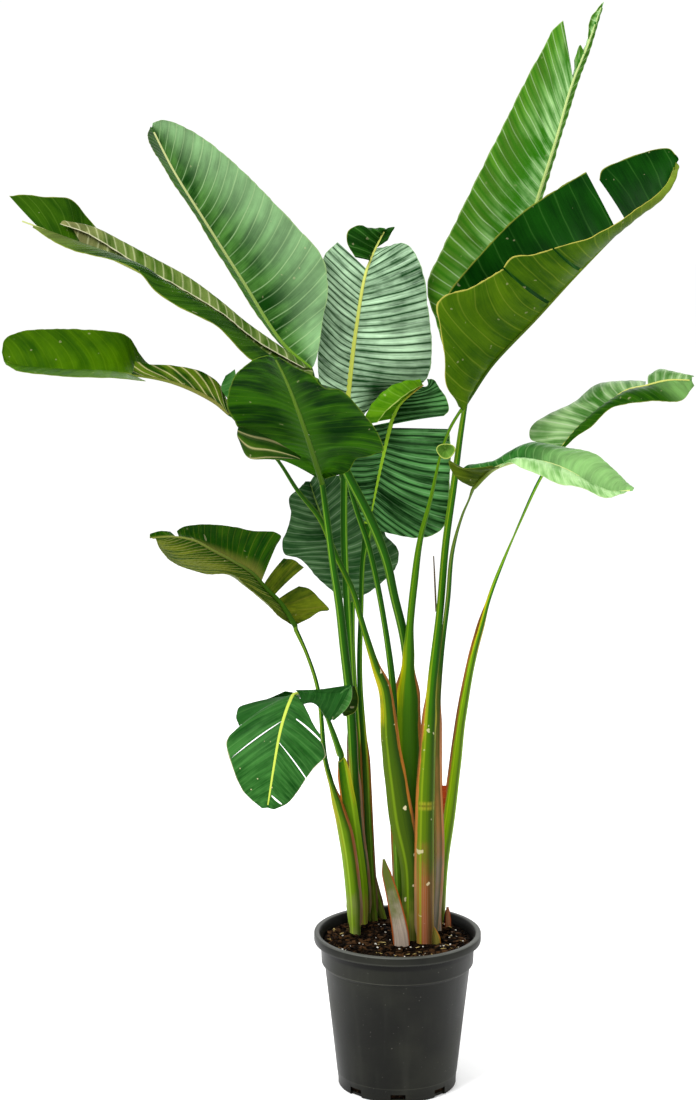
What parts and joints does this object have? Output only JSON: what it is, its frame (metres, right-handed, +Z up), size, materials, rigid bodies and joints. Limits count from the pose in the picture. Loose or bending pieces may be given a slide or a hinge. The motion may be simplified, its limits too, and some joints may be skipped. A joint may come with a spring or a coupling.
{
  "type": "potted bird of paradise",
  "caption": "Tall clump of upright leaf stalks with broad, partly split banana-like blades, growing in potting mix in a round tapered nursery pot that stands on its flat base.",
  "frame": {"origin": "centre of the pot's flat underside", "axes": "+Z up along the stalks, -Y to the front as pictured, +X to the right in that view"},
  "size_m": [1.0644, 0.5532, 1.7292],
  "materials": {
    "pot_plastic": "matt black moulded plastic",
    "potting_mix": "dark bark and peat mix with pale grit",
    "leaf": "satin green leaf, leathery and veined",
    "dry_sheath": "dry brown and olive old leaf sheath"
  },
  "bodies": {
    "root": {"pot": "pot_plastic", "soil": "potting_mix", "leaf_upper_left": "leaf", "leaf_long_left": "leaf", "leaf_level_left": "leaf", "leaf_front": "leaf", "leaf_upright": "leaf", "leaf_centre": "leaf", "leaf_back": "leaf", "leaf_low_left": "leaf", "leaf_hanging": "leaf", "leaf_tall_right": "leaf", "leaf_folded_right": "leaf", "leaf_right_far": "leaf", "leaf_right_near": "leaf", "sheath_cut": "dry_sheath", "sheath_dry": "dry_sheath", "sheath_stub_olive": "dry_sheath", "sheath_stub_orange": "dry_sheath"}
  },
  "joints": []
}
